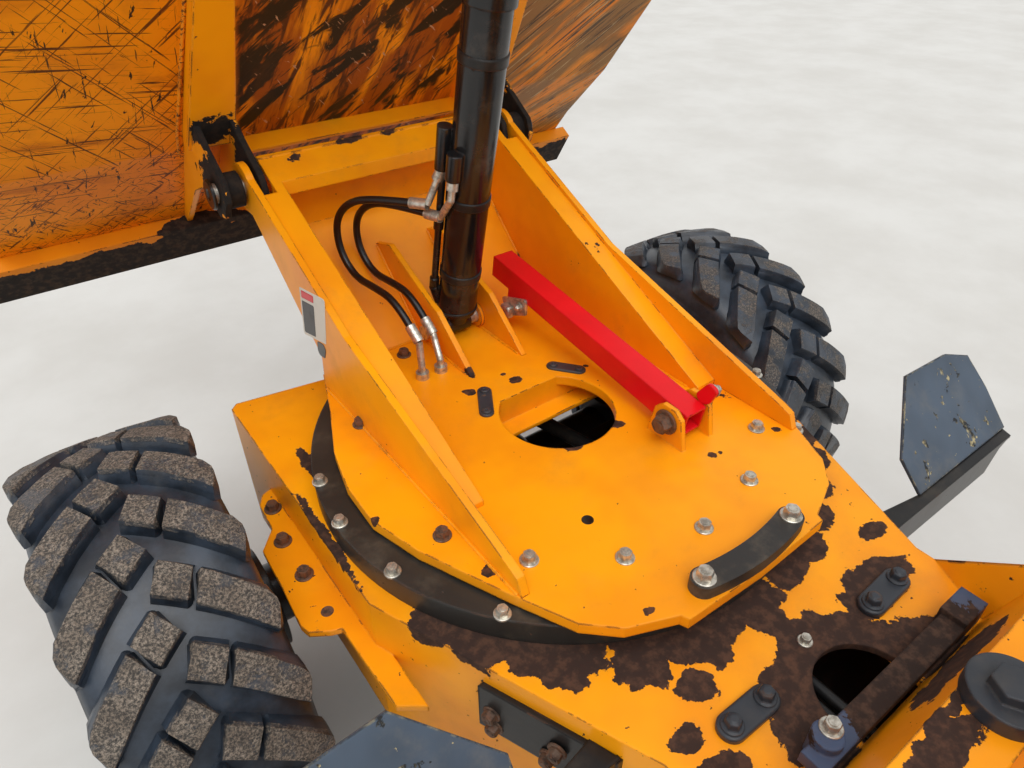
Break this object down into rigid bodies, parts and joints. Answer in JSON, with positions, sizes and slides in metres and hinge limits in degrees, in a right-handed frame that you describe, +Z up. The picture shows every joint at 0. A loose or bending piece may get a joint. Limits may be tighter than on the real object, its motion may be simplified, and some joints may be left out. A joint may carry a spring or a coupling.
{
  "type": "swivel skip site dumper",
  "caption": "Articulated site dumper with a swivelling, tipping skip on a turntable, folding roll bar and chevron-tread wheels.",
  "frame": {"origin": "bottom centre of the box of the whole machine, on the ground", "axes": "+Z up, +Y towards the back of the machine, +X towards its left side"},
  "size_m": [1.72, 3.9568, 2.77],
  "materials": {
    "machine_yellow": "satin",
    "tyre_rubber": "matte",
    "rim_paint": "satin",
    "black_paint": "satin",
    "blue_grey_paint": "satin",
    "worn_steel": "matte",
    "bright_steel": "polished",
    "zinc_plate": "satin",
    "red_paint": "satin",
    "black_plastic": "matte",
    "seat_vinyl": "satin",
    "amber_lens": "gloss",
    "red_lens": "gloss",
    "clear_lens": "gloss",
    "cast_iron": "matte",
    "hose_rubber": "matte"
  },
  "bodies": {
    "rear_half": {"rear_frame": "machine_yellow", "rear_axle": "black_paint", "side_tanks": "machine_yellow", "levers_and_pedals": "black_plastic", "exhaust": "black_paint", "rear_drive_shaft": "black_paint", "platform": "machine_yellow", "steps": "black_paint", "console": "machine_yellow", "steering_column": "black_plastic", "seat_base": "machine_yellow", "seat_cushion": "seat_vinyl", "seat_back": "seat_vinyl", "engine": "cast_iron", "engine_bulkhead": "machine_yellow", "rops_lower": "black_paint", "rear_mudguards": "machine_yellow", "rear_bumper": "black_paint", "rear_lamps": "red_lens", "headlamps": "clear_lens"},
    "front_half": {"front_frame": "machine_yellow", "slew_ring": "black_paint", "front_mudguards": "blue_grey_paint", "articulation_lock_bar": "worn_steel", "slew_cylinder": "cast_iron", "articulation_pin": "worn_steel", "transit_pipes": "black_paint", "mudguard_arms": "black_paint", "front_axle": "black_paint", "front_drive_shaft": "black_paint"},
    "turret": {"turntable_plate": "machine_yellow", "turret_frame": "machine_yellow", "turret_pins": "zinc_plate", "bumper_pad": "black_plastic", "bulkhead_fittings": "zinc_plate", "lift_hose": "hose_rubber", "lower_hose": "hose_rubber"},
    "skip": {"skip_body": "machine_yellow", "skip_lip": "worn_steel", "skip_hinge_frame": "machine_yellow", "skip_pins": "zinc_plate"},
    "tip_ram_barrel": {"tip_ram_barrel": "black_paint", "ram_elbows": "zinc_plate"},
    "tip_ram_rod": {"tip_ram_rod": "bright_steel"},
    "safety_prop": {"safety_prop": "red_paint"},
    "steer_barrel": {"steer_cylinder_barrel": "black_paint"},
    "steer_rod": {"steer_cylinder_rod": "bright_steel"},
    "bonnet": {"bonnet": "machine_yellow", "radiator_grille": "black_paint"},
    "rops_upper": {"rops_upper": "black_paint", "beacon": "amber_lens"},
    "steering_wheel": {"steering_wheel": "black_plastic"},
    "front_left_wheel": {"front_left_tyre": "tyre_rubber", "front_left_rim": "rim_paint"},
    "front_right_wheel": {"front_right_tyre": "tyre_rubber", "front_right_rim": "rim_paint"},
    "rear_left_wheel": {"rear_left_tyre": "tyre_rubber", "rear_left_rim": "rim_paint"},
    "rear_right_wheel": {"rear_right_tyre": "tyre_rubber", "rear_right_rim": "rim_paint"}
  },
  "joints": [
    {"name": "articulation", "type": "hinge", "parent": "rear_half", "child": "front_half", "pos_m": [0, 0.05337, 0.6], "axis": [0, 0, 1], "range_deg": [-32, 32]},
    {"name": "slew", "type": "hinge", "parent": "front_half", "child": "turret", "pos_m": [0, -0.72162, 0.76], "axis": [0, 0, 1], "range_deg": [-90, 90]},
    {"name": "tip", "type": "hinge", "parent": "turret", "child": "skip", "pos_m": [0, -1.31163, 1.132], "axis": [1, 0, 0], "range_deg": [-58, 0]},
    {"name": "ram_swing", "type": "hinge", "parent": "turret", "child": "tip_ram_barrel", "pos_m": [0, -1.06662, 0.837], "axis": [1, 0, 0], "range_deg": [-55.18, 0.5]},
    {"name": "ram_slide", "type": "slide", "parent": "tip_ram_barrel", "child": "tip_ram_rod", "axis": [0, 0.2297, 0.9733], "range_m": [-0.3685, 0.001]},
    {"name": "prop_raise", "type": "hinge", "parent": "turret", "child": "safety_prop", "pos_m": [-0.136, -0.54163, 0.851], "axis": [-1, 0, 0], "range_deg": [0, 60]},
    {"name": "steer_swing", "type": "hinge", "parent": "rear_half", "child": "steer_barrel", "pos_m": [-0.345, 0.63838, 0.56], "axis": [0, 0, 1], "range_deg": [-6.57, 6.57]},
    {"name": "steer_slide", "type": "slide", "parent": "steer_barrel", "child": "steer_rod", "axis": [-0.0377, -0.9993, 0], "range_m": [-0.2011, 0.2011]},
    {"name": "bonnet_lift", "type": "hinge", "parent": "rear_half", "child": "bonnet", "pos_m": [0, 1.24038, 1.155], "axis": [1, 0, 0], "range_deg": [0, 50]},
    {"name": "rops_fold", "type": "hinge", "parent": "rear_half", "child": "rops_upper", "pos_m": [0, 1.17837, 1.29], "axis": [1, 0, 0], "range_deg": [-90, 0]},
    {"name": "steering", "type": "hinge", "parent": "rear_half", "child": "steering_wheel", "pos_m": [0, 0.54038, 1.262], "axis": [0, 0.5736, 0.8192], "continuous": true},
    {"name": "front_left_roll", "type": "hinge", "parent": "front_half", "child": "front_left_wheel", "pos_m": [0.715, -0.97562, 0.4225], "axis": [1, 0, 0], "continuous": true},
    {"name": "front_right_roll", "type": "hinge", "parent": "front_half", "child": "front_right_wheel", "pos_m": [-0.715, -0.97562, 0.4225], "axis": [1, 0, 0], "continuous": true},
    {"name": "rear_left_roll", "type": "hinge", "parent": "rear_half", "child": "rear_left_wheel", "pos_m": [0.715, 1.08238, 0.4225], "axis": [1, 0, 0], "continuous": true},
    {"name": "rear_right_roll", "type": "hinge", "parent": "rear_half", "child": "rear_right_wheel", "pos_m": [-0.715, 1.08238, 0.4225], "axis": [1, 0, 0], "continuous": true}
  ],
  "couplings": [
    {"joint": "ram_swing", "follows": "tip", "ratio": 0.93412},
    {"joint": "ram_slide", "follows": "tip", "m_per_rad": 0.36202},
    {"joint": "steer_slide", "follows": "articulation", "m_per_rad": 0.35641},
    {"joint": "steer_swing", "follows": "articulation", "ratio": 0.19609}
  ]
}
